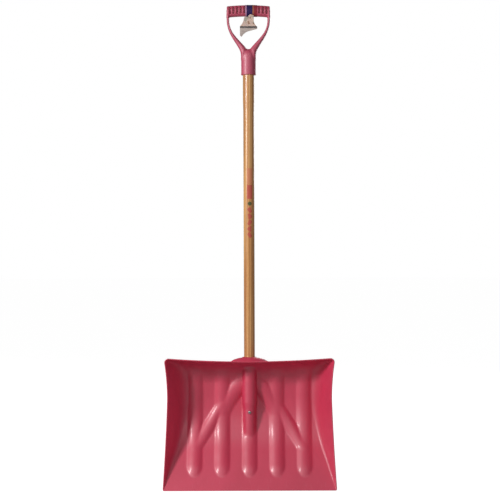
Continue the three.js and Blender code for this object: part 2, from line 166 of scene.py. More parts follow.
def object_of(name, points, faces):
    """A mesh object in the scene, from points in millimetres."""
    data = bpy.data.meshes.new(name)
    data.from_pydata((np.asarray(points, float) * MM).tolist(), [], [list(f) for f in faces])
    data.validate()
    return added(data)


def cut(obj, *cutters):
    """Cuts obj with the cutters, which are then removed."""
    for cutter in cutters:
        modifier = obj.modifiers.new("cut", "BOOLEAN")
        modifier.operation = "DIFFERENCE"
        modifier.solver = "MANIFOLD"
        modifier.object = cutter
    bpy.context.view_layer.update()
    evaluated = obj.evaluated_get(bpy.context.evaluated_depsgraph_get())
    made = bpy.data.meshes.new_from_object(evaluated)
    obj.modifiers.clear()
    obj.data = made
    for cutter in cutters:
        bpy.data.objects.remove(cutter)


def finished(obj, name, material, slot, body, *nodes, sharp=35):
    """Names, shades and finishes a piece, and sets it in place of the CAD nodes it stands for."""
    obj.name = name
    obj.data.name = name
    obj.data.materials.clear()
    obj.data.materials.append(material)
    obj.data.shade_smooth()
    obj.data.set_sharp_from_angle(angle=math.radians(sharp))
    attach(obj, body)
    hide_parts(*nodes)


def lathe(name, radii, heights):
    """A solid round the Z axis from rows of radii, one for each height between the first and
    the last, which are where it meets the axis."""
    radii = np.asarray(radii, float)
    sides = radii.shape[1]
    turn = around(sides)
    z = np.array(heights[1:-1], float)[:, None]
    ring = points_at(radii * np.cos(turn), radii * np.sin(turn), z)
    foot = len(radii) * sides
    top = foot + 1
    last_row = foot - sides
    faces = grid_faces(len(radii), sides, wrap=True).tolist()
    for k in range(sides):
        follow = (k + 1) % sides
        faces.append([foot, follow, k])
        faces.append([top, last_row + k, last_row + follow])
    ends = [[0, 0, heights[0]], [0, 0, heights[-1]]]
    return object_of(name, np.vstack([ring.reshape(-1, 3), ends]), faces)


def turned(name, profile, sides=96):
    """A solid of revolution from [radius, height] pairs that start and end on the axis."""
    radii = np.array([r for r, _ in profile[1:-1]])[:, None] + np.zeros(sides)
    return lathe(name, radii, [z for _, z in profile])


def moved(obj, y, z=0.0, turn=0.0):
    """Turns a mesh about the X axis by an angle in degrees, then moves it in millimetres."""
    place_at = Matrix.Translation(Vector((0, y, z)) * MM)
    obj.data.transform(place_at @ Matrix.Rotation(math.radians(turn), 4, "X"))
    return obj


def shell_between(name, front, back, rings=()):
    """A closed solid between two grids of points, with rings of points round their edge."""
    rows, columns = front.shape[:2]
    count = rows * columns
    first = border_of(np.arange(count).reshape(rows, columns))
    between = 2 * count + np.arange(len(rings) * len(first)).reshape(-1, len(first))
    border = quads_over(closed(np.vstack([first, between, first + count])))[:, [0, 3, 2, 1]]
    sheets = [grid_faces(rows, columns), grid_faces(rows, columns, count, flip=True)]
    points = [front.reshape(-1, 3), back.reshape(-1, 3), *rings]
    return object_of(name, np.vstack(points), np.vstack([*sheets, border]))


def border_of(grid):
    """The points round the edge of a grid, in order."""
    return np.concatenate([grid[0, :-1], grid[:-1, -1], grid[-1, :0:-1], grid[:0:-1, 0]])


def gradient(field, points):
    """The direction and rate at which a field rises."""
    rates = []
    for axis in range(3):
        shift = np.zeros(3)
        shift[axis] = GRADIENT_STEP
        rates.append((field(points + shift) - field(points - shift)) / (2 * GRADIENT_STEP))
    return np.stack(rates, axis=-1)


def body_from(name, field, low, high, step):
    """The surface where a field of distances is 0, with its points drawn onto that surface."""
    axes = [np.arange(a, b + step, step) for a, b in zip(low, high, strict=True)]
    cells = np.stack(np.meshgrid(*axes, indexing="ij"), axis=-1)
    values = np.stack([field(slab.reshape(-1, 3)).reshape(slab.shape[:2]) for slab in cells])
    grid = openvdb.FloatGrid(FIELD_MARGIN * step)
    grid.copyFromArray(np.ascontiguousarray(values, dtype=np.float32))
    points, quads = grid.convertToQuads(isovalue=0.0)
    points = points.astype(float) * step + np.array(low)
    for _ in range(FIELD_PASSES):
        rise = gradient(field, points)
        squared = np.maximum((rise**2).sum(axis=1), LEAST_SLOPE**2)
        points = points - (np.clip(field(points), -step, step) / squared)[:, None] * rise
    made = object_of(name, points, quads)
    solid = bmesh.new()
    solid.from_mesh(made.data)
    if solid.calc_volume(signed=True) < 0:
        made.data.flip_normals()
    solid.free()
    return made


# ---------- helpers: materials ----------


class Shader:
    """A material that is built node by node."""

    def __init__(self, name):
        self.material = bpy.data.materials.new(name)
        self.material.use_nodes = True
        self.tree = self.material.node_tree
        self.principled = self.tree.nodes["Principled BSDF"]
        self.place = self.tree.nodes.new("ShaderNodeTexCoord").outputs["Object"]

    def feed(self, socket, value):
        """Links a socket to another node's output, or gives it a value of its own."""
        if isinstance(value, bpy.types.NodeSocket):
            self.tree.links.new(value, socket)
        else:
            socket.default_value = value

    def node(self, kind, inputs=(), **settings):
        made = self.tree.nodes.new(kind)
        for key, value in settings.items():
            setattr(made, key, value)
        for key, value in dict(inputs).items():
            self.feed(made.inputs[key], value)
        return made

    def set(self, **sockets):
        """Feeds the shader's own sockets. Underscores in a name stand for spaces."""
        for key, value in sockets.items():
            self.feed(self.principled.inputs[key.replace("_", " ")], value)

    def noise(self, scale, detail=3.0, roughness=0.55, distortion=0.0):
        """Noise with `scale` cells in a metre, or a different number along each axis."""
        place = self.place
        if not isinstance(scale, (int, float)):
            inputs = {"Vector": place, "Scale": scale}
            place = self.node("ShaderNodeMapping", inputs).outputs["Vector"]
            scale = 1.0
        inputs = {
            "Vector": place,
            "Scale": scale,
            "Detail": detail,
            "Roughness": roughness,
            "Distortion": distortion,
        }
        return self.node("ShaderNodeTexNoise", inputs).outputs["Fac"]

    def math(self, operation, a, b=0.0, c=0.0):
        inputs = {0: a, 1: b, 2: c}
        return self.node("ShaderNodeMath", inputs, operation=operation).outputs[0]

    def span(self, value, low, high, to_low=0.0, to_high=1.0):
        """Maps low..high smoothly to to_low..to_high, and holds the ends beyond them."""
        inputs = {0: value, 1: low, 2: high, 3: to_low, 4: to_high}
        made = self.node("ShaderNodeMapRange", inputs, interpolation_type="SMOOTHSTEP")
        return made.outputs[0]

    def mix(self, share, a, b):
        """A colour that is `share` of the way from a to b."""
        inputs = {0: share, 6: a, 7: b}
        return self.node("ShaderNodeMix", inputs, data_type="RGBA").outputs[2]

    def ramp(self, value, *stops):
        """Colours from (position, colour) stops."""
        made = self.node("ShaderNodeValToRGB", {0: value})
        elements = made.color_ramp.elements
        while len(elements) < len(stops):
            elements.new(0.5)
        for element, (position, colour) in zip(elements, stops, strict=True):
            element.position = position
            element.color = colour
        return made.outputs["Color"]

    def along(self, axis):
        """The place along one axis, in metres."""
        return self.node("ShaderNodeSeparateXYZ", {0: self.place}).outputs[axis]

    def bump(self, height, distance, strength, normal=None):
        """Turns a height from 0 to 1 into relief that is `distance` metres deep."""
        inputs = {"Height": height, "Distance": distance, "Strength": strength}
        if normal is not None:
            inputs["Normal"] = normal
        return self.node("ShaderNodeBump", inputs).outputs["Normal"]


def rgb(red, green, blue):
    """A colour from sRGB values of 0 to 255."""
    shares = [value / 255 for value in (red, green, blue)]
    return (*(((c + 0.055) / 1.055) ** 2.4 if c > 0.04 else c / 12.92 for c in shares), 1.0)


# ---------- materials ----------

# In metres, like everything that the shaders measure.
SCUFF_Z = (0.004, 0.05)  # scuffs are full below the first height and gone above the second
STRIPE_EDGE = 0.0003  # half width of the soft edge of a printed stripe
CARD_EDGE = 0.0004  # the same where the card's upper field ends
CARD_BAND = (0.535, 0.615)  # top and foot of the card's stripe, as shares of the way down


def moulded_plastic(name, deep, pale, gloss):
    """Plastic from a mould: faint flow marks between two tints, a fine grain, and scuffs low
    down."""
    s = Shader(name)
    flow = s.noise((7, 7, 2.5), detail=4, distortion=1.2)
    colour = s.mix(s.span(flow, 0.3, 0.7), deep, pale)
    specks = s.noise(900, detail=2)
    colour = s.mix(s.span(specks, 0.62, 0.8, 0, 0.12), colour, rgb(222, 92, 116))
    streaks = s.noise((380, 60, 22), detail=5, roughness=0.7)
    near_lip = s.span(s.along("Z"), *SCUFF_Z, 1, 0)
    scuffs = s.math("MULTIPLY", s.span(streaks, 0.56, 0.7), near_lip)
    colour = s.mix(s.math("MULTIPLY", scuffs, 0.35), colour, rgb(224, 120, 140))
    cloud = s.noise(26, detail=4)
    rough = s.span(cloud, 0.3, 0.7, 0.5, 0.6)
    rough = s.math("ADD", rough, s.math("MULTIPLY", scuffs, 0.18))
    grain = s.bump(s.noise(2200, detail=2), 0.00003, 0.4)
    peel = s.bump(s.noise(120, detail=2), 0.00012, 0.25, grain)
    s.set(Base_Color=colour, Roughness=rough, Normal=peel, Specular_IOR_Level=1.0, IOR=1.6)
    s.set(Coat_Weight=gloss, Coat_Roughness=0.18, Coat_IOR=1.5)
    return s.material


def varnished_ash():
    """Straight-grained ash under clear varnish."""
    s = Shader("ash")
    wander = s.noise((10, 10, 1.1), detail=3)
    across = s.math("MULTIPLY_ADD", s.along("Y"), 0.55, s.along("X"))
    rings = s.math("MULTIPLY_ADD", wander, 0.022, across)
    wave = s.math("SINE", s.math("MULTIPLY", rings, 900))
    late = s.span(wave, -0.2, 0.98)
    tone = s.noise((60, 60, 2.2), detail=4)
    colour = s.ramp(
        tone,
        (0.25, rgb(184, 119, 66)),
        (0.5, rgb(214, 156, 92)),
        (0.78, rgb(232, 184, 121)),
    )
    colour = s.mix(s.math("MULTIPLY", late, 0.5), colour, rgb(150, 78, 40))
    pores = s.noise((1500, 1500, 26), detail=3, roughness=0.65)
    pore = s.span(pores, 0.57, 0.7)
    early = s.math("SUBTRACT", 1.0, s.math("MULTIPLY", late, 0.7))
    open_pore = s.math("MULTIPLY", pore, early)
    colour = s.mix(s.math("MULTIPLY", open_pore, 0.55), colour, rgb(108, 56, 30))
    relief = s.bump(s.math("MULTIPLY", pore, -1.0), 0.00010, 0.5)
    ripple = s.bump(s.noise((30, 30, 9), detail=2), 0.0006, 0.25, relief)
    rough = s.span(s.noise((80, 80, 12), detail=3), 0.3, 0.7, 0.33, 0.46)
    s.set(Base_Color=colour, Roughness=rough, Normal=ripple, IOR=1.5)
    s.set(Coat_Weight=0.45, Coat_Roughness=0.2, Coat_IOR=1.5)
    return s.material


def zinc_steel(name):
    s = Shader(name)
    brushed = s.noise((900, 120, 900), detail=4)
    colour = s.mix(s.span(brushed, 0.35, 0.65), rgb(150, 150, 152), rgb(196, 195, 192))
    tarnish = s.noise(420, detail=3)
    colour = s.mix(s.span(tarnish, 0.55, 0.75, 0, 0.5), colour, rgb(120, 112, 104))
    s.set(Base_Color=colour, Metallic=0.95)
    s.set(Roughness=s.span(tarnish, 0.35, 0.7, 0.28, 0.5))
    s.set(Normal=s.bump(brushed, 0.00003, 0.6))
    return s.material


def paper_finish(s, colour, rough, paleness):
    """Fibres and a slight cockle, for paper and card."""
    fibres = s.noise(1400, detail=4, roughness=0.7)
    colour = s.mix(s.span(fibres, 0.35, 0.7, 0, paleness), colour, rgb(245, 240, 230))
    cockle = s.bump(s.noise(110, detail=2), 0.0003, 0.3)
    s.set(Base_Color=colour, Roughness=rough, Specular_IOR_Level=0.2)
    s.set(Normal=s.bump(fibres, 0.00004, 0.6, cockle))
    return s.material


def striped(s, value, ground, *bands):
    """Paints bands of (from, to, colour) over a ground colour, with slightly soft edges."""
    colour = ground
    for low, high, tint in bands:
        start = s.span(value, low - STRIPE_EDGE, low + STRIPE_EDGE)
        end = s.span(value, high - STRIPE_EDGE, high + STRIPE_EDGE, 1, 0)
        colour = s.mix(s.math("MULTIPLY", start, end), colour, tint)
    return colour


def printed_strap(low_x, high_x):
    """A printed paper band: plain stripes that run round the bar."""
    s = Shader("strap_print")
    width = high_x - low_x
    lilac_end, navy_end, tan_end = (low_x + width * share for share in (0.12, 0.62, 0.74))
    ink = s.noise(700, detail=3)
    navy = s.mix(s.span(ink, 0.35, 0.65), rgb(30, 9, 68), rgb(40, 14, 86))
    colour = striped(
        s,
        s.along("X"),
        navy,
        (low_x - width, lilac_end, rgb(178, 130, 162)),
        (navy_end, tan_end, rgb(160, 92, 64)),
        (tan_end, high_x + width, rgb(140, 34, 50)),
    )
    return paper_finish(s, colour, 0.6, 0.03)


def printed_card(top, foot):
    """The hang tag: a pale mottled field, a dark stripe, and a plain lower part."""
    s = Shader("tag_print")
    z = s.along("Z")
    band_top, band_foot = (top - share * (top - foot) for share in CARD_BAND)
    mottle = s.noise(130, detail=3)
    field = s.ramp(
        mottle,
        (0.41, rgb(150, 108, 90)),
        (0.5, rgb(220, 190, 168)),
        (0.62, rgb(200, 172, 166)),
    )
    edge = s.noise(60, detail=2)
    field = s.mix(s.span(edge, 0.5, 0.62, 0, 0.75), field, rgb(148, 152, 138))
    lower = s.mix(s.span(mottle, 0.4, 0.6), rgb(172, 156, 150), rgb(190, 176, 168))
    upper = s.span(z, band_foot - CARD_EDGE, band_foot + CARD_EDGE)
    colour = s.mix(upper, lower, field)
    dark = s.mix(s.span(edge, 0.4, 0.6), rgb(66, 60, 62), rgb(98, 90, 90))
    colour = striped(s, z, colour, (band_foot, band_top, dark))
    return paper_finish(s, colour, 0.55, 0.1)


def screen_ink(name, light, dark):
    """Ink that is printed on the varnish, a little worn."""
    s = Shader(name)
    worn = s.noise(900, detail=4, roughness=0.7)
    colour = s.mix(s.span(worn, 0.35, 0.7), light, dark)
    s.set(Base_Color=colour, Roughness=s.span(worn, 0.3, 0.7, 0.3, 0.5))
    s.set(Normal=s.bump(worn, 0.00003, 0.5), Coat_Weight=0.3, Coat_Roughness=0.2)
    return s.material


# ---------- scoop ----------

SHAFT_Y = float(np.mean(place("shaft"), axis=0)[1])
SHEET = 3  # thickness
LIP_Y = -1.8
PAN_SLOPE = 34  # degrees from upright at the lip
PAN_STRETCHES = [
    ("straight", 118, None),
    ("bend", 230, -4),  # radius, and the degrees from upright that it turns to
    ("straight", 33, None),
    ("bend", 62, -80),
    ("straight", 27, None),
]
LIP_HALF = 228.5  # half widths at the lip, the waist and the rim
WAIST_HALF = 217.5
WAIST_Z = 240
RIM_HALF = 226
CORNER_CUT = 9  # how much narrower the upper corners are
CORNER_RUN = 12  # height over which they narrow
CORNER_RISE = 9  # how much the corners stand above the middle of the rim
EDGE_SETBACK = 18  # how far the sides' edge bows back from a line between lip and rim
WALL_LEAN = math.tan(math.radians(28))
FILLET_LOW = 14  # reach of the rounding between pan and walls, low down and high up
FILLET_HIGH = 34
FILLET_GROWS = (120, 270)
FULL_DEPTH = 45  # depth of pan from which that rounding has its full reach
SHALLOW = 0.1  # share of its reach that it keeps where the pan is shallow
LEAST_WALL = 12
EDGE_ROUND = 1.5  # radius of the rounded edge of the sheet
RIB_PITCH = 73.5
RIB_COUNT = 5
RIB_HALF = 20.5
RIB_HEIGHT = 7
RIB_FOOT_Z = 33
RIB_NOSE = 1.4  # length of a rib's rounded foot, as a share of its half width
RIB_RUNOUT = 0.22  # share of a rib's height over which its flanks ease into the pan
RIB_CROSSING = 0.3  # the same where ribs cross each other
RIB_FADE = (282, 322)
BRANCH_HALF = 17
BRANCH = [(RIB_PITCH, 217), (2 * RIB_PITCH, 102)]
WING_HALF = 23
WING = [(10, 283), (50, 250), (RIB_PITCH, 200)]
WING_POINTS = 30
SHAFT_R = 14.6
SHAFT_TOP_R = 15.4
SHAFT_FOOT_R = 12
SOCKET_R = 19.3
SOCKET_TOP = 347
SPINE_R = 16.5
SPINE_Z = (206, 224)
SPINE_FOOT = 108
SPINE_NOSE = 42  # length of the spine's rounded foot
SPINE_NOSE_POWER = 2.2
TUBE_DRAFT = 8  # steepness of the tube's sides where they run down into the pan
TUBE_FILLET = 5
BORE_FOOT = 170
COLLAR_HALF = (60, 29)
COLLAR_Y = SHAFT_Y - 6
COLLAR_PROFILE = [
    (0.0, 236),
    (0.33, 240),
    (0.6, 276),
    (0.88, 304),
    (1.0, 318),
    (0.96, 327),
    (0.86, 334.5),
    (0.7, 340.5),
    (0.48, 344.5),
    (0.25, 346),
    (0.0, 346.4),
]
ABOVE_COLLAR = -0.3  # share of the collar's size above its top, where there is none of it
COLLAR_FILLET = 8
COLLAR_MARGIN = 15  # how far beyond the collar's half width the sheet's back may be moved
BACK_REACH = 48  # furthest that it is moved
BACK_TRIALS = 193  # distances up to that one that are tried
INNER_HALF = 168
FIRST_ROW = 0.6  # distance of the hollow face's first row from the lip
PAN_STEP = 2.2  # spacing of the scoop's grid
MIDDLE_HALF = 26  # half width of the finer columns round the socket
MIDDLE_STEP = 1.3
CREASE_COLUMNS = 15  # columns on each side up to the crease, and then across the wall
WALL_COLUMNS = 24
NORMAL_STEP = 0.5  # steps along the pan and across its columns that its slope is taken over
NORMAL_COLUMNS = 0.005
EDGE_STEPS = 6  # faces round the sheet's edge
LIP_POWER = 0.35  # squares off the lip's edge: 1 makes it round
GAP = 0.35
BORE_PAST = 4  # how far the bore's cutter stands out of the socket


def pan_section(distance):
    """The pan's middle section at distances along it from the lip: y, z and heading."""
    y = np.full_like(distance, LIP_Y)
    z = np.zeros_like(distance)
    angle = np.full_like(distance, math.radians(PAN_SLOPE))
    start = 0.0
    heading = math.radians(PAN_SLOPE)
    for number, (kind, size, to) in enumerate(PAN_STRETCHES):
        turn = 0 if kind == "straight" else heading - math.radians(to)
        length = size if kind == "straight" else size * turn
        lowest = -np.inf if number == 0 else 0
        highest = np.inf if number == len(PAN_STRETCHES) - 1 else length
        run = np.clip(distance - start, lowest, highest)
        if kind == "straight":
            y = y + run * math.sin(heading)
            z = z + run * math.cos(heading)
        else:
            after = heading - run / size
            y = y + size * (np.cos(after) - math.cos(heading))
            z = z + size * (math.sin(heading) - np.sin(after))
            angle = angle - run / size
        start += length
        heading -= turn
    return y, z, angle, start


PAN_LENGTH = pan_section(np.zeros(1))[3]
RIM_Y, RIM_Z = (float(v[0]) for v in pan_section(np.array([PAN_LENGTH]))[:2])


def half_width(z):
    below = np.clip((WAIST_Z - z) / WAIST_Z, 0, 1)
    above = np.clip((z - WAIST_Z) / (RIM_Z - WAIST_Z), 0, 1)
    corner = np.clip((z - RIM_Z + CORNER_RUN) / CORNER_RUN, 0, 1)
    lip_flare = (LIP_HALF - WAIST_HALF) * below**1.2
    rim_flare = (RIM_HALF - WAIST_HALF) * above**2
    return WAIST_HALF + lip_flare + rim_flare - CORNER_CUT * corner**3


def edge_depth(z):
    up = np.clip(z / RIM_Z, 0, 1)
    return lerp(LIP_Y, RIM_Y, up) + EDGE_SETBACK * np.sin(math.pi * up)


def distance_to(line, x, z):
    nearest = np.full_like(x, np.inf)
    for (x0, z0), (x1, z1) in zip(line, line[1:], strict=False):
        dx, dz = x1 - x0, z1 - z0
        along = np.clip(((x - x0) * dx + (z - z0) * dz) / (dx * dx + dz * dz), 0, 1)
        nearest = np.minimum(nearest, np.hypot(x - x0 - along * dx, z - z0 - along * dz))
    return nearest


def ridge(distance, half):
    """Height of a rounded ridge as a share of its full height, and below 0 beyond its foot."""
    return 1 - (distance / half) ** 2


def rib_height(x, z):
    side = np.abs(x)
    below = np.maximum(RIB_FOOT_Z + RIB_HALF * RIB_NOSE - z, 0) / RIB_NOSE
    wing_line = line_of([WING], WING_POINTS).tolist()
    branch = ridge(distance_to(BRANCH, side, z), BRANCH_HALF)
    proud = soft_max(branch, ridge(distance_to(wing_line, side, z), WING_HALF), RIB_CROSSING)
    for i in range(RIB_COUNT // 2 + 1):
        rib = ridge(np.hypot(side - i * RIB_PITCH, below), RIB_HALF)
        proud = soft_max(proud, rib, RIB_CROSSING)
    return RIB_HEIGHT * soft_max(proud, 0, RIB_RUNOUT) * (1 - smoothstep(z, *RIB_FADE))


def pan_point(distance, column):
    """A point of the pan's hollow face, before the socket is added. Columns run from -3 to 3:
    within 1 they keep their X, to 2 they reach the crease, and to 3 they cross the wall."""
    y, z, angle, _ = pan_section(distance)
    half = half_width(z)
    edge = edge_depth(z)
    crease = half - np.maximum(y - edge, LEAST_WALL) * WALL_LEAN
    outermost = half - EDGE_ROUND * WALL_LEAN
    size = np.abs(column)
    reach = np.where(size <= 1, size * INNER_HALF, lerp(INNER_HALF, crease, size - 1))
    reach = np.where(size <= 2, reach, lerp(crease, outermost, size - 2))
    x = np.sign(column) * reach
    proud = rib_height(x, z)
    depth = np.clip((y - edge) / FULL_DEPTH, SHALLOW, 1)
    fillet = lerp(FILLET_LOW, FILLET_HIGH, smoothstep(z, *FILLET_GROWS)) * depth
    wall = edge + (half - reach) / WALL_LEAN
    rise = CORNER_RISE * (x / RIM_HALF) ** 2 * smoothstep(z, WAIST_Z, RIM_Z)
    face_y = soft_min(y - proud * np.cos(angle), wall, fillet)
    return points_at(x, face_y, z + proud * np.sin(angle) + rise)


def pan_normal(distance, column):
    """The direction out of the back of the sheet."""
    above, below = (pan_point(distance + step, column) for step in (NORMAL_STEP, -NORMAL_STEP))
    right, left = (pan_point(distance, column + step) for step in (NORMAL_COLUMNS, -NORMAL_COLUMNS))
    return unit(np.cross(above - below, right - left))


def tube_radius(z):
    """The socket's radius down its length, with the spine and its rounded foot."""
    nose = np.clip((SPINE_FOOT + SPINE_NOSE - z) / SPINE_NOSE, 0, 1)
    spine = SPINE_R * np.sqrt(1 - nose**SPINE_NOSE_POWER)
    widened = np.clip((z - SPINE_Z[0]) / (SPINE_Z[1] - SPINE_Z[0]), 0, 1)
    return spine + (SOCKET_R - SPINE_R) * widened


def tube_front(x, z):
    """Depth of the tube's front face, running steeply down past its widest place."""
    radius = tube_radius(z)
    inside = np.minimum(np.abs(x), radius)
    outside = np.abs(x) - inside
    return SHAFT_Y - np.sqrt(radius**2 - inside**2) + outside * TUBE_DRAFT


def collar_share(z):
    """The collar's size at heights z, as a share of its full size."""
    shares, heights = np.array(COLLAR_PROFILE).T
    return np.interp(z, heights, shares, right=ABOVE_COLLAR)


def back_field(points, out):
    """Below 0 inside the socket, spine and collar, or inside the sheet that `out` leaves."""
    x, y, z = points[..., 0], points[..., 1], points[..., 2]
    tube = np.hypot(x, y - SHAFT_Y) - tube_radius(z)
    tube = np.maximum(tube, z - SOCKET_TOP)
    oval = np.hypot(x / COLLAR_HALF[0], (y - COLLAR_Y) / COLLAR_HALF[1])
    collar = (oval - collar_share(z)) * COLLAR_HALF[1]
    return soft_min(soft_min(out, collar, COLLAR_FILLET), tube, TUBE_FILLET)


def swollen(points, directions):
    """Moves the sheet's outer points outwards, over the socket, spine and collar."""
    reach = np.linspace(0, BACK_REACH, BACK_TRIALS)
    near = np.abs(points[..., 0]) < COLLAR_HALF[0] + COLLAR_MARGIN
    base, out = points[near], directions[near]
    trial = base[:, None, :] + reach[None, :, None] * out[:, None, :]
    field = back_field(trial, reach[None, :])
    inside = field < 0
    last = np.where(inside.any(axis=1), inside.shape[1] - 1 - inside[:, ::-1].argmax(axis=1), 0)
    last = np.minimum(last, len(reach) - 2)
    rows = np.arange(len(base))
    low, high = field[rows, last], field[rows, last + 1]
    share = np.where(low < 0, low / np.minimum(low - high, -1e-9), 0)
    swollen_points = points.copy()
    swollen_points[near] = base + (reach[last] + share * (reach[1] - reach[0]))[:, None] * out
    return swollen_points


def rounded_edge(hollow, outer):
    """Rings of points that close the sheet's edge: round on the sides and the rim, and flat
    with small corners along the lip."""
    beyond = np.zeros_like(hollow)
    beyond[:, 0] += unit(hollow[:, 0] - hollow[:, 1])
    beyond[:, -1] += unit(hollow[:, -1] - hollow[:, -2])
    beyond[-1] += unit(hollow[-1] - hollow[-2])
    beyond[0] = (0, 0, -1)
    a, b = border_of(hollow), border_of(outer)
    out = unit(border_of(beyond))
    middle, half = (a + b) / 2, (a - b) / 2
    thick = np.linalg.norm(half, axis=-1, keepdims=True)
    is_lip = np.zeros(len(a), bool)
    is_lip[: hollow.shape[1]] = True
    is_lip = is_lip[:, None]
    rings = []
    for k in range(1, EDGE_STEPS):
        turn = math.pi * k / EDGE_STEPS
        cosine, sine = math.cos(turn), math.sin(turn)
        squared = math.copysign(abs(cosine) ** LIP_POWER, cosine)
        across = half * np.where(is_lip, squared, cosine)
        depth = np.where(is_lip, a[:, 2:], thick) * np.where(is_lip, sine**LIP_POWER, sine)
        rings.append(middle + across + out * depth)
    return np.array(rings)


def shell_grid():
    """The scoop's hollow and outer faces as grids of points with the same rows and columns."""
    rows = graded((FIRST_ROW, PAN_LENGTH - EDGE_ROUND, PAN_STEP))
    middle = MIDDLE_HALF / INNER_HALF
    half = graded((0, middle, MIDDLE_STEP / INNER_HALF), (middle, 1, PAN_STEP / INNER_HALF))
    sides = graded((1, 2, 1 / CREASE_COLUMNS), (2, 3, 1 / WALL_COLUMNS))
    right = np.concatenate([half, sides[1:]])
    columns = np.concatenate([-right[:0:-1], right])
    distance, column = np.meshgrid(rows, columns, indexing="ij")
    pan = pan_point(distance, column)
    back = pan + SHEET * pan_normal(distance, column)
    lift = back[0, :, 2] - pan[0, :, 2]
    back[0] -= np.outer(lift, [0, math.tan(math.radians(PAN_SLOPE)), 1])
    hollow = pan.copy()
    hollow[..., 1] = soft_min(pan[..., 1], tube_front(pan[..., 0], pan[..., 2]), TUBE_FILLET)
    _, _, angle, _ = pan_section(distance)
    out = points_at(0.0, np.cos(angle), -np.sin(angle))
    return hollow, swollen(back, out)


def make_scoop():
    hollow, outer = shell_grid()
    scoop = shell_between("scoop", hollow, outer, rounded_edge(hollow, outer))
    bore = turned(
        "bore",
        [
            (0, BORE_FOOT),
            (SHAFT_FOOT_R + GAP, BORE_FOOT),
            (SHAFT_R + GAP, SPINE_Z[1]),
            (SHAFT_R + GAP, SOCKET_TOP - EDGE_ROUND),
            (SHAFT_R + GAP + EDGE_ROUND, SOCKET_TOP),
            (SHAFT_R + GAP + EDGE_ROUND, SOCKET_TOP + BORE_PAST),
            (0, SOCKET_TOP + BORE_PAST),
        ],
    )
    cut(scoop, moved(bore, y=SHAFT_Y), screw_hole(-SPINE_R, BLADE_SCREW_Z))
    plastic = moulded_plastic("scoop_plastic", rgb(202, 29, 72), rgb(212, 37, 80), 0.22)
    finished(scoop, "scoop", plastic, "scoop_plastic", SHOVEL, "blade")


# ---------- screws ----------

SCREW_LENGTH = 24
SCREW_TIP = 5
SCREW_CORE = 1.45
SCREW_CREST = 1.95
THREAD_PITCH = 1.5
THREAD_POWER = 3  # sharpness of its crest
THREAD_ENDS = (0.3, 1.2)  # where it starts above the tip and ends below the head
THREAD_STEP = 0.15
TIP_POWER = 0.7  # 1 makes the tip a cone, less rounds it
SCREW_SIDES = 48
SCREW_HEAD = [
    (2.1, -0.4),
    (2.2, 0),
    (3.75, 0),
    (4, 0.25),
    (4, 0.9),
    (3.8, 1.35),
    (3.3, 1.8),
    (2.5, 2.15),
    (1.4, 2.34),
]  # radius and height
SCREW_HEAD_TOP = 2.4
RECESS = (0.55, 2.1, 1.4)  # half width, half length and depth of each slot of the cross
RECESS_TAPER = (0.6, 1.1)  # share of that size at a slot's floor and above its mouth
RECESS_PAST = 0.5
SCREW_HOLE_R = 2.3
SEAT_R = 5
SEAT_DEPTH = 0.9
HOLE_PAST_TIP = 2
BLADE_SCREW_Z = 198.5
GRIP_SCREW_Z = 1132


def facing(obj, face, z):
    """Turns a part that stands on the Z axis to face out of the shaft at `face`, which is
    measured from the shaft's axis, and whose sign is the side."""
    return moved(obj, y=SHAFT_Y + face, z=z, turn=-90 if face > 0 else 90)


def screw_hole(face, z):
    """A cutter for a screw's hole and the seat of its head."""
    depth = SCREW_LENGTH + HOLE_PAST_TIP
    profile = [
        (0, -depth),
        (SCREW_HOLE_R, -depth),
        (SCREW_HOLE_R, -SEAT_DEPTH),
        (SEAT_R, -SEAT_DEPTH),
        (SEAT_R, SEAT_R),
        (0, SEAT_R),
    ]
    return facing(turned("screw_hole", profile, sides=SCREW_SIDES), face, z)


def recess_slot(across):
    """One slot of the cross in a screw's head, narrower at its floor."""
    width, length, depth = RECESS
    ring = np.array([(-1, -1), (1, -1), (1, 1), (-1, 1)])
    size = np.array([length, width] if across else [width, length])
    floor, mouth = RECESS_TAPER
    low = np.column_stack([ring * size * floor, np.full(4, SCREW_HEAD_TOP - depth)])
    high = np.column_stack([ring * size * mouth, np.full(4, SCREW_HEAD_TOP + RECESS_PAST)])
    sides = [[k, (k + 1) % 4, 4 + (k + 1) % 4, 4 + k] for k in range(4)]
    return object_of("slot", np.vstack([low, high]), [[3, 2, 1, 0], [4, 5, 6, 7], *sides])


def make_screw(name, face, z, node):
    turn = np.arange(SCREW_SIDES) / SCREW_SIDES
    start, end = THREAD_ENDS
    heights = np.arange(-SCREW_LENGTH + start, -end, THREAD_STEP * FINE)
    taper = np.clip((heights + SCREW_LENGTH) / SCREW_TIP, 0, 1)[:, None] ** TIP_POWER
    wave = 0.5 + 0.5 * np.cos(2 * math.pi * (heights[:, None] / THREAD_PITCH - turn))
    thread = SCREW_CORE + (SCREW_CREST - SCREW_CORE) * wave**THREAD_POWER
    head = np.array(SCREW_HEAD)
    radii = np.vstack([thread * taper, head[:, :1] + 0 * turn])
    screw = lathe(name, radii, [-SCREW_LENGTH, *heights, *head[:, 1], SCREW_HEAD_TOP])
    cut(screw, recess_slot(True), recess_slot(False))
    facing(screw, face + math.copysign(GAP - SEAT_DEPTH, face), z)
    finished(screw, name, zinc_steel(name), "screw_steel", SHOVEL, node)


# ---------- shaft ----------

SHAFT_FOOT = 172
SHAFT_TOP = 1157
SWELL_Z = (1010, 1045)  # the shaft grows thicker between these heights
SWELL_RINGS = 9
SHAFT_CHAMFER = 1.5


